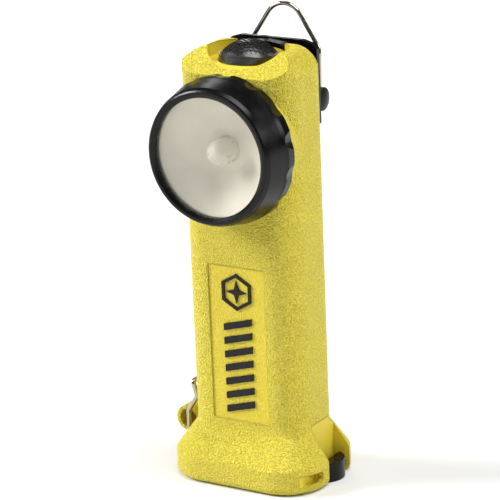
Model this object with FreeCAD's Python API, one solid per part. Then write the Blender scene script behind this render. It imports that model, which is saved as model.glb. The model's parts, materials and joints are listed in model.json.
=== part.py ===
import FreeCAD
import Part
import os
from math import cos, radians, sin, tan

# Right-angle firefighter's flashlight with its rechargeable battery fitted.
# Millimetres. +Z is up the body, the lens faces -Y, the coat clip is on +Y.
# The origin is the centre of the foot the light stands on.

# ---- driving dimensions -------------------------------------------------
TOP_Z = 180.3            # crown of the housing
COLUMN_W = 53.1          # across X
COLUMN_D = 34.7          # across Y
COLUMN_R = 12.0
SHOULDER_R = 11.0        # rounding of the crown towards +X and -X
SLOPE_Y = -4.0           # the crown starts to fall here ...
SLOPE_Z = 171.5          # ... and reaches this height at the front face
WALL = 2.4

BASE_W = 68.2
BASE_FRONT = -27.3
BASE_REAR = 22.8
BASE_R = 17.5
BASE_R_REAR = 14.5
RIM_TOP = 10.6
FLARE_TOP = 22.4
RIM_ROUND = 3.0

CHAMBER_TOP = 117.0      # roof of the battery chamber
DOOR_SEAT = 5.0          # roof of the recess the door closes into
NOTCH_X = 26.6           # inner wall of both side notches

HEAD_Z = 142.6           # height of the lamp axis
NECK_R = 25.9
NECK_FRONT = -28.3
BORE_R = 23.6
BORE_REAR = 13.0
COLLAR_R = 29.0
CAP_REAR = -17.75
CAP_FRONT = -35.2
CAP_GRIP_R = 30.4
CAP_FRONT_R = 27.4
CAP_OPENING_R = 24.4
GRIP_LOBES = 14

BOOT_A = 12.3            # half-length of the switch boot along X
BOOT_B = 10.7            # half-width along Y
POCKET_A = 17.6
POCKET_B = 13.0
POCKET_FLOOR = 174.9
SWITCH_Y = -0.6
BOOT_BOTTOM = 172.3
WELL_FLOOR = 170.6
MODULE_TOP = 168.4

PIVOT_Y = 26.4           # hinge of the coat clip and of the D-ring
PIVOT_Z = 154.0
PIVOT_R = 1.2
EAR_R = 4.9
EAR_X = 17.45            # inner face of each ear
RING_X = 16.4            # half-width between the D-ring's legs
RING_LEAN = 3.0          # degrees back from upright
RING_WIRE = 0.95
SADDLE_Y = 9.6           # front edge of the bracket's saddle on the crown

HINGE_X = 31.4           # hinge line of the battery door, along Y
HINGE_Z = 4.0
HINGE_R = 1.0
LUG_X = -34.5
LUG_Z = 17.6
LUG_R = 5.7
BAIL_X = -33.0
BAIL_Z = 3.4
BAIL_WIRE = 1.05
BAIL_Y = 6.0
FIT = 0.05               # running clearance on a pin

X_AXIS = FreeCAD.Vector(1, 0, 0)
Y_AXIS = FreeCAD.Vector(0, 1, 0)
Z_AXIS = FreeCAD.Vector(0, 0, 1)


# ---- helpers ------------------------------------------------------------
def vec(x, y, z):
    return FreeCAD.Vector(x, y, z)


def box(x0, x1, y0, y1, z0, z1):
    return Part.makeBox(x1 - x0, y1 - y0, z1 - z0, vec(x0, y0, z0))


def cyl_x(r, x0, x1, y, z):
    return Part.makeCylinder(r, x1 - x0, vec(x0, y, z), X_AXIS)


def cyl_y(r, y0, y1, x=0.0, z=HEAD_Z):
    return Part.makeCylinder(r, y1 - y0, vec(x, y0, z), Y_AXIS)


def cyl_z(r, z0, z1, x=0.0, y=0.0):
    return Part.makeCylinder(r, z1 - z0, vec(x, y, z0), Z_AXIS)


def fuse(*shapes):
    return shapes[0].multiFuse(list(shapes[1:])).removeSplitter()


def rounded_wire(x0, x1, y0, y1, r_front, r_rear, z):
    """Closed outline at height z, with its own radius front and rear."""
    corners = (
        (x1 - r_front, y0 + r_front, r_front, -90),
        (x1 - r_rear, y1 - r_rear, r_rear, 0),
        (x0 + r_rear, y1 - r_rear, r_rear, 90),
        (x0 + r_front, y0 + r_front, r_front, 180),
    )
    arcs = []
    for cx, cy, r, start in corners:
        ends = [vec(cx + r * cos(radians(start + a)), cy + r * sin(radians(start + a)), z)
                for a in (0, 45, 90)]
        arcs.append(Part.Arc(*ends).toShape())
    edges = []
    for i, arc in enumerate(arcs):
        edges.append(arc)
        start = arc.Vertexes[1].Point
        end = arcs[(i + 1) % 4].Vertexes[0].Point
        edges.append(Part.makeLine(start, end))
    return Part.Wire(edges)


def rounded_prism(x0, x1, y0, y1, r_front, r_rear, z0, z1):
    face = Part.Face(rounded_wire(x0, x1, y0, y1, r_front, r_rear, z0))
    return face.extrude(vec(0, 0, z1 - z0))


def polygon_x(points, x0, x1):
    """Prism along X from an outline of (y, z) points."""
    outline = [vec(x0, y, z) for y, z in points]
    wire = Part.makePolygon(outline + outline[:1])
    return Part.Face(wire).extrude(vec(x1 - x0, 0, 0))


def polygon_y(points, y0, y1):
    """Prism along Y from an outline of (x, z) points."""
    outline = [vec(x, y0, z) for x, z in points]
    wire = Part.makePolygon(outline + outline[:1])
    return Part.Face(wire).extrude(vec(0, y1 - y0, 0))


def lathe_y(points, z=HEAD_Z):
    """Turned part about the lamp axis from (radius, y) points."""
    outline = [vec(r, y, z) for r, y in points]
    wire = Part.makePolygon(outline + outline[:1])
    return Part.Face(wire).revolve(vec(0, 0, z), Y_AXIS, 360)


def oval_prism(a, b, y, z0, z1):
    """Elliptic prism, half-axes a along X and b along Y."""
    ellipse = Part.Ellipse(vec(0, y, z0), a, b)
    return Part.Face(Part.Wire(ellipse.toShape())).extrude(vec(0, 0, z1 - z0))


def arched_prism(half_width, top, r, y0, y1):
    """Block along Y whose two upper edges are rounded by r."""
    w = half_width
    k = r * (1 - cos(radians(45)))
    right = Part.Arc(vec(w, y0, top - r), vec(w - k, y0, top - k), vec(w - r, y0, top)).toShape()
    left = Part.Arc(vec(r - w, y0, top), vec(k - w, y0, top - k), vec(-w, y0, top - r)).toShape()
    edges = [
        Part.makeLine(vec(w, y0, 0), vec(w, y0, top - r)),
        right,
        Part.makeLine(vec(w - r, y0, top), vec(r - w, y0, top)),
        left,
        Part.makeLine(vec(-w, y0, top - r), vec(-w, y0, 0)),
        Part.makeLine(vec(-w, y0, 0), vec(w, y0, 0)),
    ]
    return Part.Face(Part.Wire(edges)).extrude(vec(0, y1 - y0, 0))


def bent_wire(points, radius, bend):
    """Round wire along points, with every corner bent to the given radius."""
    points = [vec(*p) for p in points]
    edges = []
    at = points[0]
    for before, corner, after in zip(points, points[1:], points[2:]):
        to_before = (before - corner).normalize()
        to_after = (after - corner).normalize()
        half = to_before.getAngle(to_after) / 2
        reach = bend / tan(half)
        middle = (to_before + to_after).normalize()
        start = corner + to_before * reach
        end = corner + to_after * reach
        crown = corner + middle * (bend / sin(half) - bend)
        edges.append(Part.makeLine(at, start))
        edges.append(Part.Arc(start, crown, end).toShape())
        at = end
    edges.append(Part.makeLine(at, points[-1]))
    path = Part.Wire(edges)
    circle = Part.Circle(points[0], points[1] - points[0], radius)
    return path.makePipeShell([Part.Wire(circle.toShape())], True, True)


def coil(radius, wire, turns, z0, z1, x, y):
    """Open coil spring standing along Z."""
    height = z1 - z0 - 2 * wire
    path = Part.makeHelix(height / turns, height, radius)
    section = Part.Wire(Part.Circle(vec(radius, 0, 0), Y_AXIS, wire).toShape())
    spring = Part.Wire(path.Edges).makePipeShell([section], True, True)
    spring.translate(vec(x, y, z0 + wire))
    return spring


# ---- housing ------------------------------------------------------------
def upper_body(inset):
    """Column and crown, drawn in by inset on every side."""
    w = COLUMN_W / 2 - inset
    d = COLUMN_D / 2 - inset
    r = COLUMN_R - inset
    top = TOP_Z - inset
    column = rounded_prism(-w, w, -d, d, r, r, RIM_TOP - 4, top)
    arch = arched_prism(w, top, SHOULDER_R - inset, -d, d)
    slope = [(-d, 0), (d, 0), (d, top), (SLOPE_Y, top), (-d, SLOPE_Z - inset)]
    return column.common(arch).common(polygon_x(slope, -w, w))


def base_body():
    w = BASE_W / 2
    rim = rounded_prism(-w, w, BASE_FRONT, BASE_REAR, BASE_R, BASE_R_REAR, 0, RIM_TOP)
    lower = rounded_wire(-w, w, BASE_FRONT, BASE_REAR, BASE_R, BASE_R_REAR, RIM_TOP)
    cw = COLUMN_W / 2
    cd = COLUMN_D / 2
    upper = rounded_wire(-cw, cw, -cd, cd, COLUMN_R, COLUMN_R, FLARE_TOP)
    flare = Part.makeLoft([lower, upper], True, True)
    body = rim.fuse(flare)
    bottom = [e for e in body.Edges if e.BoundBox.ZMax < 0.01]
    body = body.makeFillet(RIM_ROUND, bottom)
    rim_edge = [e for e in body.Edges
                if abs(e.BoundBox.ZMin - RIM_TOP) < 0.01 and abs(e.BoundBox.ZMax - RIM_TOP) < 0.01]
    return body.makeFillet(2.5, rim_edge)


def under_saddle(drop):
    """Everything below the gently arched top of the crown's rear."""
    arch = [(0, 179.8), (8, 179.3), (13, 178.6), (17, 177.4), (19.6, 176.0), (30, 166.0)]
    outline = [(x, z - drop) for x, z in arch] + [(30, 150), (-30, 150)]
    outline += [(-x, z - drop) for x, z in reversed(arch[1:])]
    return polygon_y(outline, SADDLE_Y - 1, 40)


def saddle_zone():
    """Space that the clip bracket takes up on the crown's rear."""
    rear = box(-40, 40, SADDLE_Y, 40, 172.6, 200)
    return rear.cut(upper_body(2.0).common(under_saddle(2.0)))


def charge_pocket(side):
    """Long slot in a front corner of the foot, with a round end at the rear."""
    floor_x = 29.6
    slot = box(floor_x, 45, -40, -12.6, 3.4, 8.2)
    end = Part.makeCylinder(2.4, 45 - floor_x, vec(floor_x, -12.6, 5.8), X_AXIS)
    hole = cyl_x(1.2, 20, 30, -13.4, 6.4)
    pocket = fuse(slot, end, hole)
    if side < 0:
        pocket = pocket.mirror(vec(0, 0, 0), X_AXIS)
    return pocket


def housing():
    d = COLUMN_D / 2
    body = upper_body(0).fuse(base_body())
    waist = [e for e in body.Edges
             if abs(e.BoundBox.ZMin - FLARE_TOP) < 0.05 and abs(e.BoundBox.ZMax - FLARE_TOP) < 0.05]
    body = body.makeFillet(5.0, waist)
    collar = Part.makeCone(COLLAR_R, 24.6, 17.0, vec(0, -d, HEAD_Z), Y_AXIS)
    body = body.fuse(collar).removeSplitter()
    body = body.cut(box(-13.1, 13.1, -d - 5, -d + 0.35, 26.6, 92.6))
    neck = cyl_y(NECK_R, NECK_FRONT, -d + 1)
    body = body.fuse(neck)

    w = COLUMN_W / 2 - WALL
    chamber = rounded_prism(-w, w, WALL - d, d - WALL, COLUMN_R - WALL, COLUMN_R - WALL,
                            DOOR_SEAT - 1, CHAMBER_TOP)
    recess = rounded_prism(-29.0, 29.8, -22.4, 20.4, 15.0, 12.0, -1, DOOR_SEAT)
    cuts = [
        chamber,
        recess,
        cyl_y(BORE_R, NECK_FRONT - 5, BORE_REAR),
        lathe_y([(24.6, -22.2), (30, -22.2), (30, -20.2), (24.6, -20.2)]),
        box(NOTCH_X, 45, -6.0, 11.5, -1, 40),
        box(-45, -NOTCH_X, -8.6, 8.6, -1, 40),
        charge_pocket(1),
        charge_pocket(-1),
        cyl_y(HINGE_R, -9.4, 13.8, HINGE_X, HINGE_Z),
        oval_prism(POCKET_A, POCKET_B, SWITCH_Y, POCKET_FLOOR, 200),
        oval_prism(BOOT_A + 0.3, BOOT_B + 0.3, SWITCH_Y, WELL_FLOOR, 200),
        cyl_z(6.1, 160, 200, 0, SWITCH_Y),
        Part.makeSphere(9.0, vec(-1.5, -20.6, 179.4)),
        saddle_zone(),
        box(-8, 8, -5, 5, CHAMBER_TOP - 1, 130),
    ]
    for x, z in BRACKET_SCREWS:
        cuts.append(cyl_y(1.1, 14.0, 20, x, z))
    return body.cut(cuts).removeSplitter()


def front_emblem():
    """Generic raised device: a hexagon with a star in it over slanted hazard bars."""
    y0 = -COLUMN_D / 2 - 0.25
    y1 = -COLUMN_D / 2 + 0.35
    hexagon = []
    for r in (7.9, 6.3):
        corners = [(r * cos(radians(60 * i + 30)), 82.0 + r * sin(radians(60 * i + 30)))
                   for i in range(6)]
        hexagon.append(polygon_y(corners, y0 - (7.9 - r), y1 + (7.9 - r)))
    pieces = [hexagon[0].cut(hexagon[1])]
    star = []
    for i in range(8):
        r = 4.8 if i % 2 == 0 else 1.6
        star.append((r * sin(radians(45 * i)), 82.0 + r * cos(radians(45 * i))))
    pieces.append(polygon_y(star, y0, y1))
    for i in range(7):
        z = 29.5 + 5.9 * i
        pieces.append(polygon_y([(-6.6, z), (6.6, z + 3.6), (6.6, z + 6.5), (-6.6, z + 2.9)], y0, y1))
    return Part.makeCompound(pieces)


# ---- head ---------------------------------------------------------------
def facecap():
    outline = [
        (26.35, CAP_REAR), (29.6, CAP_REAR), (CAP_GRIP_R, CAP_REAR - 0.8),
        (CAP_GRIP_R, -22.6), (29.9, -24.6), (28.2, -33.0), (CAP_FRONT_R, -34.7),
        (26.8, CAP_FRONT), (25.7, CAP_FRONT), (CAP_OPENING_R, -34.6), (CAP_OPENING_R, -33.35),
        (26.35, -33.35),
    ]
    cap = lathe_y(outline)
    scallops = []
    for i in range(GRIP_LOBES):
        start = vec(CAP_GRIP_R + 8.25, -12.0, HEAD_Z)
        groove = Part.makeCylinder(10.0, 18.0, start, Y_AXIS * -1)
        groove.rotate(start, Z_AXIS, 8)
        groove.rotate(vec(0, 0, HEAD_Z), Y_AXIS, 360.0 / GRIP_LOBES * (i + 0.5))
        scallops.append(groove)
    return cap.cut(scallops)


def reflector():
    """Deep bowl with a flat seat round the emitter and a rim on the neck."""
    throat, mouth = -19.2, -30.15
    bowl = []
    for i in range(13):
        t = i / 12.0
        r = 9.0 + (24.9 - 9.0) * t
        bowl.append((r, throat + (mouth - throat) * (0.35 * t + 0.65 * t * t)))
    back = [(r, y + 1.2) for r, y in reversed(bowl[:-2])]
    outline = [(5.5, throat)] + bowl + [(25.5, mouth), (25.5, -28.35), (23.4, -28.35)]
    outline += back + [(5.5, throat + 1.2)]
    return lathe_y(outline)


def heat_sink():
    sink = cyl_y(20.0, -13.0, 5.0)
    grooves = []
    for i in range(4):
        y = -9.0 + 3.4 * i
        grooves.append(lathe_y([(14.0, y), (22, y), (22, y + 1.8), (14.0, y + 1.8)]))
    return sink.cut(grooves)


def lamp_holder():
    """Plastic ring that centres the heat sink in the bore."""
    return lathe_y([(9.8, -17.8), (14.5, -17.8), (23.45, -12.6), (23.45, 8.0), (20.1, 8.0),
                    (20.1, -13.1), (9.8, -13.1)])


def led_dome():
    dome = fuse(cyl_y(5.2, -25.0, -16.6), Part.makeSphere(5.2, vec(0, -25.0, HEAD_Z)))
    inner = fuse(cyl_y(3.9, -25.0, -16.5), Part.makeSphere(3.9, vec(0, -25.0, HEAD_Z)))
    return dome.cut(box(-6, 6, -16.6, 0, HEAD_Z - 6, HEAD_Z + 6)).cut(inner)


# ---- switch -------------------------------------------------------------
def switch_boot():
    """Rubber boot: straight skirt under a high dome with a cross-cut grip."""
    skirt_top = 177.8
    dome_top = 183.2
    dome_r = 14.6
    centre = vec(0, SWITCH_Y, dome_top - dome_r)
    skirt = oval_prism(BOOT_A, BOOT_B, SWITCH_Y, BOOT_BOTTOM, skirt_top)
    crown = Part.makeSphere(dome_r, centre)
    dome = crown.common(oval_prism(BOOT_A - 0.35, BOOT_B - 0.35, SWITCH_Y, skirt_top - 0.5, 200))
    inside = oval_prism(BOOT_A - 1.7, BOOT_B - 1.2, SWITCH_Y, skirt_top + 0.6, 200)
    shell = crown.cut(Part.makeSphere(dome_r - 0.6, centre)).common(inside)
    grip = []
    for i in range(-7, 8):
        for turn in (32, -32):
            rib = box(-20, 20, 1.7 * i - 0.33, 1.7 * i + 0.33, 170, 190)
            rib.rotate(vec(0, 0, 0), Z_AXIS, turn)
            rib.translate(vec(0, SWITCH_Y, 0))
            grip.append(rib)
    boot = fuse(skirt, dome)
    return boot.cut(shell.common(grip[0].multiFuse(grip[1:])))


# ---- clip ---------------------------------------------------------------
BRACKET_SCREWS = ((-9.5, 150.5), (9.5, 150.5), (-9.5, 168.0), (9.5, 168.0))


def clip_bracket():
    """Saddle over the crown's rear, back plate and the two hinge ears."""
    d = COLUMN_D / 2
    plate_outline = [(-21.0, 146.0), (21.0, 146.0), (21.0, 177.0), (18.7, 179.0),
                     (14.5, 180.2), (-14.5, 180.2), (-18.7, 179.0), (-21.0, 177.0)]
    plate = polygon_y(plate_outline, d, d + 2.2)
    saddle = upper_body(0).common(saddle_zone()).common(under_saddle(0))
    body = saddle.cut(oval_prism(POCKET_A, POCKET_B, SWITCH_Y, 150, 200)).fuse(plate)
    for side in (-1, 1):
        x0 = EAR_X if side > 0 else -EAR_X - 0.8
        arm = polygon_x([(d + 2, 149.0), (PIVOT_Y, PIVOT_Z - EAR_R + 0.6),
                         (PIVOT_Y, PIVOT_Z + EAR_R - 0.6), (d + 2, 159.0)], x0, x0 + 0.8)
        ear = cyl_x(EAR_R, x0, x0 + 0.8, PIVOT_Y, PIVOT_Z)
        body = body.fuse(arm).fuse(ear)
    body = body.cut(cyl_x(PIVOT_R, -30, 30, PIVOT_Y, PIVOT_Z))
    for x, z in BRACKET_SCREWS:
        body = body.cut(cyl_y(1.3, 10, 30, x, z))
    return body.removeSplitter()


def bracket_screws():
    rear = COLUMN_D / 2 + 2.2
    screws = []
    for x, z in BRACKET_SCREWS:
        head = Part.makeCone(2.6, 1.9, 1.5, vec(x, rear, z), Y_AXIS)
        slot_a = box(x - 1.5, x + 1.5, rear + 0.8, rear + 3, z - 0.28, z + 0.28)
        slot_b = box(x - 0.28, x + 0.28, rear + 0.8, rear + 3, z - 1.5, z + 1.5)
        shank = cyl_y(1.1, 14.2, rear + 0.1, x, z)
        screws.append(fuse(head, shank).cut([slot_a, slot_b]))
    return Part.makeCompound(screws)


def pivot_pin():
    """Rivet with a wide domed head outside each ear."""
    ear_face = EAR_X + 0.8
    head_r = 4.6
    rise = 1.1
    dome_r = (head_r ** 2 + rise ** 2) / (2 * rise)
    pin = cyl_x(PIVOT_R, -ear_face, ear_face, PIVOT_Y, PIVOT_Z)
    for side in (-1, 1):
        centre = vec(side * (ear_face + rise - dome_r), PIVOT_Y, PIVOT_Z)
        x0 = ear_face if side > 0 else -ear_face - 2
        head = Part.makeSphere(dome_r, centre).common(cyl_x(head_r + 1, x0, x0 + 2, PIVOT_Y, PIVOT_Z))
        pin = pin.fuse(head)
    return pin.removeSplitter()


def clip_lever():
    """Pressed steel lever: thumb tab above the pin, long springy arm below."""
    t = 1.5
    outer = [(32.1, 174.2), (30.9, 168.0), (30.9, 148.0), (28.6, 128.0), (22.4, 98.0),
             (20.2, 92.6), (22.4, 86.6), (25.6, 84.4)]
    inner = [(y - t, z) for y, z in outer]
    inner[0] = (32.1 - t, 174.5)
    inner[-1] = (25.0, 83.0)
    inner[-2] = (21.2, 85.6)
    inner[-3] = (18.6, 92.6)
    strip = polygon_x(outer + inner[::-1], -20, 20)
    shape = [(-13.7, 150.0), (-11.0, 140.0), (-11.0, 88.0), (-8.0, 80.0), (8.0, 80.0),
             (11.0, 88.0), (11.0, 140.0), (13.7, 150.0), (13.7, 170.0), (9.5, 176.0),
             (-9.5, 176.0), (-13.7, 170.0)]
    lever = strip.common(polygon_y(shape, 10, 40))
    for side in (-1, 1):
        x0 = 12.3 if side > 0 else -13.7
        web = polygon_x([(30.1, 148.6), (30.1, 165.0), (25.9, 157.4), (23.9, PIVOT_Z),
                         (25.9, 150.6)], x0, x0 + 1.4)
        eye = cyl_x(3.2, x0, x0 + 1.4, PIVOT_Y, PIVOT_Z)
        lever = lever.fuse(web).fuse(eye)
    return lever.cut(cyl_x(PIVOT_R + FIT, -30, 30, PIVOT_Y, PIVOT_Z)).removeSplitter()


def d_ring():
    """Wire loop with a flattened eye at each end, leaning slightly back."""
    y = PIVOT_Y
    loop = bent_wire([(-RING_X, y, PIVOT_Z + 1.6), (-RING_X, y, 174.6), (0, y, 199.0),
                      (RING_X, y, 174.6), (RING_X, y, PIVOT_Z + 1.6)], RING_WIRE, 8.9)
    for side in (-1, 1):
        x = RING_X * side
        loop = loop.fuse(cyl_x(2.3, x - RING_WIRE, x + RING_WIRE, y, PIVOT_Z))
    loop = loop.cut(cyl_x(PIVOT_R + FIT, -30, 30, y, PIVOT_Z)).removeSplitter()
    loop.rotate(vec(0, y, PIVOT_Z), X_AXIS, -RING_LEAN)
    return loop


def clip_spring():
    spring = coil(2.3, 0.5, 9, -6.0, 6.0, 0, 0)
    spring.rotate(vec(0, 0, 0), Y_AXIS, 90)
    spring.translate(vec(0, PIVOT_Y, PIVOT_Z))
    return spring


# ---- battery and contacts -----------------------------------------------
CELL_R = 11.1
CELL_X = 11.25
CELL_LENGTH = 43.0
TRAY_BOTTOM = 9.0
TRAY_TOP = 101.0


def battery_cell(side, level):
    z = TRAY_BOTTOM + 1.1 + level * (CELL_LENGTH + 1.4)
    x = CELL_X * side
    can = cyl_z(CELL_R, z, z + CELL_LENGTH, x)
    rims = [e for e in can.Edges if e.Curve.TypeId == "Part::GeomCircle"]
    can = can.makeFillet(0.7, rims)
    return can.fuse(cyl_z(3.4, z + CELL_LENGTH - 0.1, z + CELL_LENGTH + 1.2, x)).removeSplitter()


def battery_tray():
    shell = rounded_prism(-23.3, 23.3, -12.3, 12.3, 8.0, 8.0, TRAY_BOTTOM, TRAY_TOP)
    hollow = box(-22.5, 22.5, -11.4, 11.4, TRAY_BOTTOM + 1, TRAY_TOP - 1)
    window = box(-19.0, 19.0, -20, 20, TRAY_BOTTOM + 9, TRAY_TOP - 9)
    return shell.cut([hollow, window])


def contact_carrier():
    plate = rounded_prism(-21, 21, -10, 10, 6, 6, CHAMBER_TOP - 3.0, CHAMBER_TOP)
    return plate.cut([box(-8, 8, -5, 5, CHAMBER_TOP - 4, CHAMBER_TOP + 1)])


def contact_leaf():
    """Folded strip that presses on the positive end of the battery."""
    outline = [(6.0, 113.9), (6.0, 113.2), (15.4, 113.2), (15.4, 106.5), (8.6, 101.9), (8.6, 101.2),
               (16.1, 106.1), (16.1, 113.9)]
    return polygon_y(outline, -3.0, 3.0)


def charge_contact(side):
    pin = cyl_x(1.2, 25.0, 28.6, -13.4, 6.4)
    return pin.mirror(vec(0, 0, 0), X_AXIS) if side < 0 else pin


# ---- door ---------------------------------------------------------------
def battery_door():
    """Door plate with its latch lug; the hinge block is a separate moulding."""
    plate = rounded_prism(-28.6, 26.9, -22.0, 20.0, 14.6, 11.6, 0.0, 4.3)
    tongue = box(-30.6, -24.0, -7.8, 7.8, 0.0, 4.3)
    neck = box(-34.1, -30.0, -4.4, 4.4, 0.0, 5.0)
    web = box(-35.4, -31.6, -4.4, 4.4, 0.0, LUG_Z - 3)
    lug = cyl_y(LUG_R, -4.4, 4.4, LUG_X, LUG_Z)
    door = fuse(plate, tongue, neck, web, lug)
    cuts = [
        cyl_y(LUG_R - 1.5, -5.0, 3.0, LUG_X, LUG_Z),
        cyl_y(BAIL_WIRE + FIT, -10, 10, BAIL_X, BAIL_Z),
        box(22.0, 30.0, -5.4, 10.9, -1, 1.8),
    ]
    return door.cut(cuts).removeSplitter()


def hinge_block():
    """Black knuckle that fills the notch, with a foot let into the door plate."""
    middle = vec(28.0, 2.75, 0)
    outline = Part.Ellipse(middle + vec(0, 8.25, 0), middle + vec(7.2, 0, 0), middle)
    post = Part.Face(Part.Wire(outline.toShape())).extrude(vec(0, 0, 8.3))
    post = post.cut(box(0, 28.7, -10, 20, -1, 10))
    top_edge = [e for e in post.Edges if e.BoundBox.ZMin > 8.2]
    post = post.makeFillet(0.5, top_edge)
    knuckle = cyl_y(4.3, -6.0, 12.0, HINGE_X, HINGE_Z)
    post = post.common(fuse(knuckle, box(HINGE_X - 1.6, 40, -6, 12, HINGE_Z, 9),
                            box(20, 40, -6, 12, -1, HINGE_Z)))
    link = box(26.9, 30.0, -5.4, 10.9, 0.0, 4.3)
    foot = box(22.0, 28.0, -5.4, 10.9, 0.0, 1.8)
    return fuse(post, link, foot).cut(cyl_y(HINGE_R + FIT, -20, 30, HINGE_X, HINGE_Z))


def door_gasket():
    """Flat ring round the mouth of the battery chamber."""
    w = COLUMN_W / 2 - WALL
    d = COLUMN_D / 2 - WALL
    outer = rounded_prism(-w - 1.8, w + 1.8, -d - 1.8, d + 1.8, 11.2, 11.2, 4.3, DOOR_SEAT - 0.05)
    inner = rounded_prism(-w + 0.2, w - 0.2, -d + 0.2, d - 0.2, 9.4, 9.4, 4, 6)
    return outer.cut(inner)


def latch_bail():
    """Bent wire: two eyes at the door, legs either side of the lug, thumb bar above."""
    legs = [
        (BAIL_X, 1.5, BAIL_Z), (BAIL_X, BAIL_Y, BAIL_Z), (-33.2, BAIL_Y, 21.8),
        (-28.6, BAIL_Y, 29.0), (-30.4, BAIL_Y, 35.4),
    ]
    mirrored = [(x, -y, z) for x, y, z in reversed(legs)]
    return bent_wire(legs + mirrored, BAIL_WIRE, 1.3)


# ---- build --------------------------------------------------------------
parts = {
    "housing": housing(),
    "front_emblem": front_emblem(),
    "facecap": facecap(),
    "lens": cyl_y(26.0, -33.3, -31.3),
    "lens_gasket": lathe_y([(25.1, -31.3), (26.0, -31.3), (26.0, -30.5), (25.1, -30.5)]),
    "reflector": reflector(),
    "head_o_ring": Part.makeTorus(25.4, 0.8, vec(0, -21.2, HEAD_Z), Y_AXIS),
    "led_dome": led_dome(),
    "led_emitter": box(-1.8, 1.8, -17.6, -16.6, HEAD_Z - 1.8, HEAD_Z + 1.8),
    "led_board": cyl_y(9.6, -16.6, -13.1),
    "lamp_holder": lamp_holder(),
    "heat_sink": heat_sink(),
    "driver_board": cyl_y(19.0, 6.0, 7.6),
    "switch_boot": switch_boot(),
    "switch_plunger": cyl_z(2.5, MODULE_TOP + 1.8, BOOT_BOTTOM, 0, SWITCH_Y),
    "switch_spring": coil(4.3, 0.5, 2, MODULE_TOP, BOOT_BOTTOM, 0, SWITCH_Y),
    "switch_module": cyl_z(6.0, 166.4, MODULE_TOP, 0, SWITCH_Y),
    "clip_bracket": clip_bracket(),
    "bracket_screws": bracket_screws(),
    "clip_pivot_pin": pivot_pin(),
    "clip_lever": clip_lever(),
    "clip_spring": clip_spring(),
    "d_ring": d_ring(),
    "battery_tray": battery_tray(),
    "cell_lower_left": battery_cell(-1, 0),
    "cell_lower_right": battery_cell(1, 0),
    "cell_upper_left": battery_cell(-1, 1),
    "cell_upper_right": battery_cell(1, 1),
    "contact_carrier": contact_carrier(),
    "contact_spring": coil(4.0, 0.5, 5, TRAY_TOP, CHAMBER_TOP - 3.0, -11.25, 0),
    "contact_leaf": contact_leaf(),
    "charge_contact_left": charge_contact(-1),
    "charge_contact_right": charge_contact(1),
    "battery_door": battery_door(),
    "door_hinge_block": hinge_block(),
    "door_hinge_pin": cyl_y(HINGE_R, -9.2, 13.6, HINGE_X, HINGE_Z),
    "door_gasket": door_gasket(),
    "door_pad": rounded_prism(-18, 18, -9, 9, 4, 4, 4.3, 8.6),
    "latch_bail": latch_bail(),
}

os.makedirs("parts", exist_ok=True)
for name, shape in parts.items():
    shape.exportStep("parts/" + name + ".step")
    bounds = shape.BoundBox
    print(name, len(shape.Solids), shape.isValid(), round(shape.Volume),
          [round(v, 1) for v in (bounds.XMin, bounds.XMax, bounds.YMin, bounds.YMax,
                                 bounds.ZMin, bounds.ZMax)])
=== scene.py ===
"""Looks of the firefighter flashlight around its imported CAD. Metres, +Z up, lens towards -Y."""

import json
import math

import bpy
from mathutils import Matrix, Vector


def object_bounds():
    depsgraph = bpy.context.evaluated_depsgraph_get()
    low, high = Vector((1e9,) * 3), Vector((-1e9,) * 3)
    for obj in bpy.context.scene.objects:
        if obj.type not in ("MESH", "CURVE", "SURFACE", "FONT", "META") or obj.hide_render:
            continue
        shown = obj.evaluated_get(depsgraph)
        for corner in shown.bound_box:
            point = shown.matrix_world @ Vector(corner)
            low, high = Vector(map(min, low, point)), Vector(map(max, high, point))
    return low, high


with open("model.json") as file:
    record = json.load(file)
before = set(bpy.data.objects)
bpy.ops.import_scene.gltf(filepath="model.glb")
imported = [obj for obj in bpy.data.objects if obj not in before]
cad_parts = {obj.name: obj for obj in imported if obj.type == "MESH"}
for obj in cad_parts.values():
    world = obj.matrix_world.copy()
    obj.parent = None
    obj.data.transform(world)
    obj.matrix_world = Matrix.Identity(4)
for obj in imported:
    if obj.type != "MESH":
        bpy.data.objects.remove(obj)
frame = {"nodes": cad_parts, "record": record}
cad_low, cad_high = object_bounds()
nodes = frame["nodes"]

MM = 0.001
SOFT_EDGE = 0.2 * MM        # width of the change at the border of a zone

# Plain zones of the yellow moulding, each as (x, y, z) ranges in millimetres.
PLAIN_BLOCKS = (
    ((-13.2, 13.2), (-18.0, -16.9), (26.4, 92.8)),      # front panel
    ((26.3, 34.0), (-6.15, 11.65), (-1.0, 24.5)),       # hinge notch
    ((-34.0, -26.3), (-8.75, 8.75), (-1.0, 24.5)),      # latch notch
    ((29.0, 31.4), (-24.0, -9.8), (3.2, 8.4)),          # charging slots
    ((-31.4, -29.0), (-24.0, -9.8), (3.2, 8.4)),
)
POCKET_OVAL = (17.9 * MM, 13.3 * MM, -0.6 * MM)         # half width, half depth and middle along Y
POCKET_Z = (0.170, 0.1802)
MIX_FACTOR, MIX_A, MIX_B, MIX_COLOR = 0, 6, 7, 2        # socket places of a colour Mix node
GRAIN_SCALE = 1500
GRAIN_DEPTH = 2.3 * MM

FLOOR_HALF = 3.0
FLOOR_GAP = 0.2 * MM
SUN_PLACE = 1.5
TENT_DARK, TENT_BRIGHT = 0.01, 0.19
RIM_SIZE = (0.18, 0.3)
RIM_POWER = 0.9
RIM_TARGET = Vector((0, 0, 0.15))
WHITE = (1.0, 1.0, 1.0, 1.0)


# ---- node helpers -----------------------------------------------------------
def set_range(node, start, end, low, high):
    """Fills in a Map Range node that takes start to low and end to high."""
    for socket, value in zip(("From Min", "From Max", "To Min", "To Max"), (start, end, low, high)):
        node.inputs[socket].default_value = value


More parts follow.
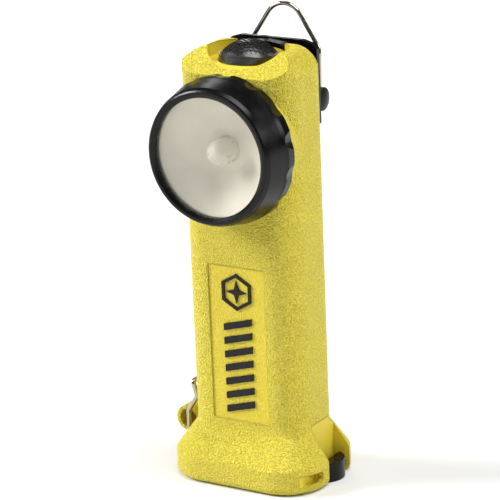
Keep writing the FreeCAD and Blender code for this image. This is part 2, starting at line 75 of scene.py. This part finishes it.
class Shader:
    """A new material with its Principled shader and short ways to add nodes."""

    def __init__(self, name, color, roughness, **sockets):
        self.material = bpy.data.materials.new(name)
        self.material.use_nodes = True
        self.tree = self.material.node_tree
        self.bsdf = self.tree.nodes["Principled BSDF"]
        self.set(self.bsdf, "Base Color", (*color, 1.0))
        self.set(self.bsdf, "Roughness", roughness)
        for socket, value in sockets.items():
            self.set(self.bsdf, socket.replace("_", " "), value)

    def set(self, node, socket, value):
        node.inputs[socket].default_value = value

    def link(self, source, node, socket):
        self.tree.links.new(source, node.inputs[socket])

    def position(self):
        return self.tree.nodes.new("ShaderNodeTexCoord").outputs["Object"]

    def math(self, operation, a, b):
        node = self.tree.nodes.new("ShaderNodeMath")
        node.operation = operation
        for i, value in enumerate((a, b)):
            if isinstance(value, (int, float)):
                node.inputs[i].default_value = value
            else:
                self.tree.links.new(value, node.inputs[i])
        return node.outputs[0]

    def noise(self, scale, detail=3.0, vector=None):
        node = self.tree.nodes.new("ShaderNodeTexNoise")
        self.link(vector or self.position(), node, "Vector")
        self.set(node, "Scale", scale)
        self.set(node, "Detail", detail)
        return node.outputs["Fac"]

    def cells(self, scale):
        node = self.tree.nodes.new("ShaderNodeTexVoronoi")
        self.link(self.position(), node, "Vector")
        self.set(node, "Scale", scale)
        return node.outputs["Distance"]

    def stretched(self, x, y, z):
        node = self.tree.nodes.new("ShaderNodeMapping")
        self.link(self.position(), node, "Vector")
        self.set(node, "Scale", (x, y, z))
        return node.outputs["Vector"]

    def ramp(self, factor, low, high, start, end):
        """Colour that runs from low to high as factor goes from start to end."""
        node = self.tree.nodes.new("ShaderNodeValToRGB")
        self.link(factor, node, "Fac")
        for stop, place, color in zip(node.color_ramp.elements, (start, end), (low, high)):
            stop.position = place
            stop.color = (*color, 1.0)
        return node.outputs["Color"]

    def spread(self, factor, low, high, start=0.3, end=0.7):
        """Number that runs from low to high as factor goes from start to end."""
        node = self.tree.nodes.new("ShaderNodeMapRange")
        self.link(factor, node, "Value")
        set_range(node, start, end, low, high)
        return node.outputs["Result"]

    def bump(self, height, distance, strength=1.0):
        node = self.tree.nodes.new("ShaderNodeBump")
        self.link(height, node, "Height")
        self.set(node, "Distance", distance)
        self.set(node, "Strength", strength)
        self.link(node.outputs["Normal"], self.bsdf, "Normal")

    def along(self):
        """The place's X, Y and Z outputs."""
        split = self.tree.nodes.new("ShaderNodeSeparateXYZ")
        self.link(self.position(), split, "Vector")
        return split.outputs

    def within(self, axis, low, high):
        """1 where the place along an axis is between low and high, else 0."""
        value = self.along()[axis]
        above = self.spread(value, 0.0, 1.0, low - SOFT_EDGE, low + SOFT_EDGE)
        below = self.spread(value, 1.0, 0.0, high - SOFT_EDGE, high + SOFT_EDGE)
        return self.math("MULTIPLY", above, below)

    def inside_oval(self, a, b, y):
        """1 within an upright oval column of half axes a and b about (0, y), else 0."""
        place = self.along()
        across = self.math("POWER", self.math("DIVIDE", place["X"], a), 2.0)
        depth = self.math("DIVIDE", self.math("SUBTRACT", place["Y"], y), b)
        return self.math("LESS_THAN", self.math("ADD", across, self.math("POWER", depth, 2.0)), 1.0)

    def block(self, x, y, z):
        """1 inside an upright box given in millimetres, else 0."""
        ranges = zip("XYZ", (x, y, z))
        sides = [self.within(axis, low * MM, high * MM) for axis, (low, high) in ranges]
        return self.math("MULTIPLY", self.math("MULTIPLY", sides[0], sides[1]), sides[2])


def srgb(r, g, b):
    """Linear colour of an 8-bit sRGB one."""
    def linear(v):
        v = v / 255
        return v / 12.92 if v <= 0.04045 else ((v + 0.055) / 1.055) ** 2.4
    return linear(r), linear(g), linear(b)


# ---- materials --------------------------------------------------------------
def smooth_zone(s):
    """1 on the moulding's plain faces: panel, notches, slots and switch pocket."""
    total = s.math("MULTIPLY", s.inside_oval(*POCKET_OVAL), s.within("Z", *POCKET_Z))
    for block in PLAIN_BLOCKS:
        total = s.math("MAXIMUM", total, s.block(*block))
    return total


def yellow_nylon():
    s = Shader("yellow_nylon", srgb(236, 220, 72), 0.5, IOR=1.45)
    rough = s.math("SUBTRACT", 1.0, smooth_zone(s))
    grain = s.noise(GRAIN_SCALE, 1.0)
    # Grain colour: random mottling plus painted shade, darker yellow in the grain's low valleys
    # where the bump also sinks.
    grain_tone_and_valley_shade = s.ramp(grain, srgb(230, 207, 52), srgb(253, 239, 84), 0.36, 0.62)
    mix = s.tree.nodes.new("ShaderNodeMix")
    mix.data_type = "RGBA"
    s.link(rough, mix, MIX_FACTOR)
    s.set(mix, MIX_A, (*srgb(222, 200, 54), 1.0))
    s.link(grain_tone_and_valley_shade, mix, MIX_B)
    s.link(mix.outputs[MIX_COLOR], s.bsdf, "Base Color")
    s.link(s.spread(s.noise(45, 3.0), 0.44, 0.58), s.bsdf, "Roughness")
    s.bump(s.math("MULTIPLY", grain, rough), GRAIN_DEPTH)
    return s.material


def black_nylon():
    s = Shader("black_nylon", srgb(6, 6, 6), 0.24, IOR=1.5, Specular_IOR_Level=0.24)
    wear = s.noise(160, 4.0)
    s.link(s.ramp(wear, srgb(4, 4, 4), srgb(11, 11, 10), 0.35, 0.7), s.bsdf, "Base Color")
    s.link(s.spread(wear, 0.2, 0.3), s.bsdf, "Roughness")
    s.bump(s.noise(2200, 2.0), 0.04 * MM, 0.5)
    return s.material


def black_print():
    s = Shader("black_print", srgb(16, 15, 13), 0.42, Specular_IOR_Level=0.3)
    s.link(s.spread(s.noise(600), 0.36, 0.52), s.bsdf, "Roughness")
    s.bump(s.noise(1500, 2.0), 0.05 * MM, 0.6)
    return s.material


def black_rubber():
    s = Shader("black_rubber", srgb(14, 14, 13), 0.34, Specular_IOR_Level=0.5)
    dust = s.noise(300, 4.0)
    s.link(s.ramp(dust, srgb(11, 11, 10), srgb(22, 22, 21), 0.4, 0.75), s.bsdf, "Base Color")
    s.link(s.spread(dust, 0.28, 0.42), s.bsdf, "Roughness")
    s.bump(s.noise(2600, 3.0), 0.05 * MM, 0.6)
    return s.material


def boot_rubber():
    s = Shader("boot_rubber", srgb(20, 20, 19), 0.3, Specular_IOR_Level=0.75)
    dust = s.noise(420, 3.0)
    s.link(s.ramp(dust, srgb(15, 15, 14), srgb(30, 30, 28), 0.35, 0.7), s.bsdf, "Base Color")
    s.link(s.spread(dust, 0.24, 0.36), s.bsdf, "Roughness")
    s.bump(s.noise(2600, 2.0), 0.04 * MM, 0.5)
    return s.material


def bright_wire():
    s = Shader("bright_wire", srgb(178, 174, 160), 0.1, Metallic=1.0)
    s.link(s.spread(s.noise(700, 4.0), 0.06, 0.16), s.bsdf, "Roughness")
    s.bump(s.noise(900, 2.0), 0.02 * MM, 0.5)
    return s.material


def plain_steel(name, color, roughness):
    s = Shader(name, color, roughness, Metallic=1.0)
    streak = s.noise(900, 3.0, vector=s.stretched(1.0, 1.0, 0.08))
    s.link(s.spread(streak, roughness - 0.08, roughness + 0.1), s.bsdf, "Roughness")
    s.bump(streak, 0.01 * MM, 0.4)
    return s.material


def black_steel():
    s = Shader("black_steel", srgb(12, 12, 12), 0.4, Specular_IOR_Level=0.2)
    s.link(s.spread(s.noise(900, 3.0), 0.34, 0.5), s.bsdf, "Roughness")
    s.bump(s.noise(1500, 3.0), 0.05 * MM, 0.6)
    return s.material


def lens_clear():
    s = Shader("lens_clear", srgb(232, 230, 220), 0.05, IOR=1.45, Alpha=0.14)
    s.link(s.spread(s.noise(60, 3.0), 0.03, 0.08), s.bsdf, "Roughness")
    return s.material


def reflector_metal():
    s = Shader("reflector_metal", srgb(238, 232, 212), 0.5, Metallic=0.05)
    haze = s.noise(70, 3.0)
    s.link(s.ramp(haze, srgb(232, 226, 207), srgb(245, 240, 222), 0.35, 0.65), s.bsdf, "Base Color")
    s.link(s.spread(haze, 0.46, 0.58), s.bsdf, "Roughness")
    return s.material


def dome_frosted():
    s = Shader("dome_frosted", srgb(238, 233, 214), 0.3, IOR=1.4, Transmission_Weight=0.15)
    s.link(s.spread(s.noise(500, 3.0), 0.24, 0.36), s.bsdf, "Roughness")
    return s.material


def inner_plastic(name, color, roughness=0.35):
    s = Shader(name, color, roughness)
    s.link(s.spread(s.noise(400, 3.0), roughness - 0.06, roughness + 0.1), s.bsdf, "Roughness")
    s.bump(s.noise(1200, 2.0), 0.03 * MM, 0.5)
    return s.material


def foam():
    s = Shader("pad_foam", srgb(58, 58, 60), 0.9)
    s.bump(s.cells(1400), 0.25 * MM, 0.8)
    return s.material


MATERIALS = {
    "yellow_nylon": yellow_nylon(),
    "black_nylon": black_nylon(),
    "black_print": black_print(),
    "black_rubber": black_rubber(),
    "black_steel": black_steel(),
    "bright_wire": bright_wire(),
    "steel": plain_steel("steel", srgb(176, 176, 174), 0.32),
    "lens_clear": lens_clear(),
    "reflector_metal": reflector_metal(),
    "dome_frosted": dome_frosted(),
    "emitter_yellow": inner_plastic("emitter_yellow", srgb(235, 205, 60), 0.3),
    "board_white": inner_plastic("board_white", srgb(228, 228, 222)),
    "board_green": inner_plastic("board_green", srgb(22, 84, 42)),
    "heat_sink_metal": plain_steel("heat_sink_metal", srgb(205, 207, 210), 0.36),
    "contact_brass": plain_steel("contact_brass", srgb(214, 178, 96), 0.28),
    "cell_can": plain_steel("cell_can", srgb(176, 178, 182), 0.34),
    "pad_foam": foam(),
}


def paint():
    """Gives every CAD node its slot's material, and the grooved boot a glossier rubber."""
    special = {"switch_boot": boot_rubber()}
    for part in frame["record"]["subparts"]:
        mesh = nodes[part["node"]].data
        mesh.materials.clear()
        mesh.materials.append(special.get(part["node"], MATERIALS[part["material_slot"]]))


paint()


# ---- stage -----------------------------------------------------------------
def floor():
    mesh = bpy.data.meshes.new("studio_floor")
    corners = [(x * FLOOR_HALF, y * FLOOR_HALF, 0) for x, y in ((-1, -1), (1, -1), (1, 1), (-1, 1))]
    mesh.from_pydata(corners, [], [(0, 1, 2, 3)])
    plane = bpy.data.objects.new("studio_floor", mesh)
    bpy.context.scene.collection.objects.link(plane)
    plane.location.z = cad_low.z - FLOOR_GAP
    mesh.materials.append(Shader("studio_floor", (0.8, 0.8, 0.8), 0.9).material)


def lamp(name, kind, strength, place, towards):
    """A light whose lit side faces against the direction towards."""
    data = bpy.data.lights.new(name, kind)
    data.energy = strength
    light = bpy.data.objects.new(name, data)
    bpy.context.scene.collection.objects.link(light)
    light.location = place
    light.rotation_euler = (-towards).to_track_quat("-Z", "Y").to_euler()
    return data


def rim_box(name, place):
    data = lamp(name, "AREA", RIM_POWER, place, place - RIM_TARGET)
    data.shape = "RECTANGLE"
    data.size, data.size_y = RIM_SIZE


def sun(name, direction, strength, angle):
    data = lamp(name, "SUN", strength, direction * SUN_PLACE, direction)
    data.angle = math.radians(angle)


def studio():
    """A white backdrop, a dim tent brightest at the left, three soft suns and two rim boxes."""
    towards = Vector((-0.8, -0.34, 0.52)).normalized()
    world = bpy.data.worlds.new("studio")
    bpy.context.scene.world = world
    world.use_nodes = True
    tree = world.node_tree
    place = tree.nodes.new("ShaderNodeTexCoord")
    dot = tree.nodes.new("ShaderNodeVectorMath")
    dot.operation = "DOT_PRODUCT"
    tree.links.new(place.outputs["Generated"], dot.inputs[0])
    dot.inputs[1].default_value = towards
    tent = tree.nodes.new("ShaderNodeMapRange")
    tree.links.new(dot.outputs["Value"], tent.inputs["Value"])
    set_range(tent, -1.0, 1.0, TENT_DARK, TENT_BRIGHT)
    seen = tree.nodes.new("ShaderNodeLightPath").outputs["Is Camera Ray"]
    backdrop = tree.nodes.new("ShaderNodeMath")
    backdrop.operation = "MAXIMUM"
    tree.links.new(tent.outputs["Result"], backdrop.inputs[0])
    tree.links.new(seen, backdrop.inputs[1])
    tree.links.new(backdrop.outputs[0], tree.nodes["Background"].inputs["Strength"])
    tree.nodes["Background"].inputs["Color"].default_value = WHITE
    sun("key", towards, 3.4, 25)
    sun("side", Vector((0.85, 0.3, 0.4)).normalized(), 0.9, 20)
    sun("top", Vector((0.25, -0.05, 1.0)).normalized(), 2.5, 40)
    rim_box("rim_right", Vector((0.58, 0.85, 0.78)))
    rim_box("rim_left", Vector((-0.55, 0.8, 0.62)))


def camera():
    """A long lens a metre away, with the small roll and shift of the photo's framing."""
    azimuth, elevation, roll = math.radians(31.81), math.radians(17.38), math.radians(2.35)
    distance = 1.1023
    shift_x, shift_y = 3.11 * MM, -4.78 * MM
    target = Vector((0, 0, 90 * MM))
    flat = math.cos(elevation)
    back = Vector((math.sin(azimuth) * flat, -math.cos(azimuth) * flat, math.sin(elevation)))
    level = Vector((math.cos(azimuth), math.sin(azimuth), 0))
    upright = back.cross(level)
    right = level * math.cos(roll) - upright * math.sin(roll)
    up = level * math.sin(roll) + upright * math.cos(roll)
    data = bpy.data.cameras.new("photo_camera")
    data.sensor_width = 36.0
    data.lens = 194.3
    data.clip_start = 0.05
    eye = bpy.data.objects.new("photo_camera", data)
    bpy.context.scene.collection.objects.link(eye)
    place = target + back * distance - right * shift_x - up * shift_y
    turn = Matrix((right, up, back)).transposed().to_4x4()
    eye.matrix_world = Matrix.Translation(place) @ turn
    bpy.context.scene.camera = eye


floor()
studio()
camera()
bpy.context.scene.view_settings.view_transform = "Standard"
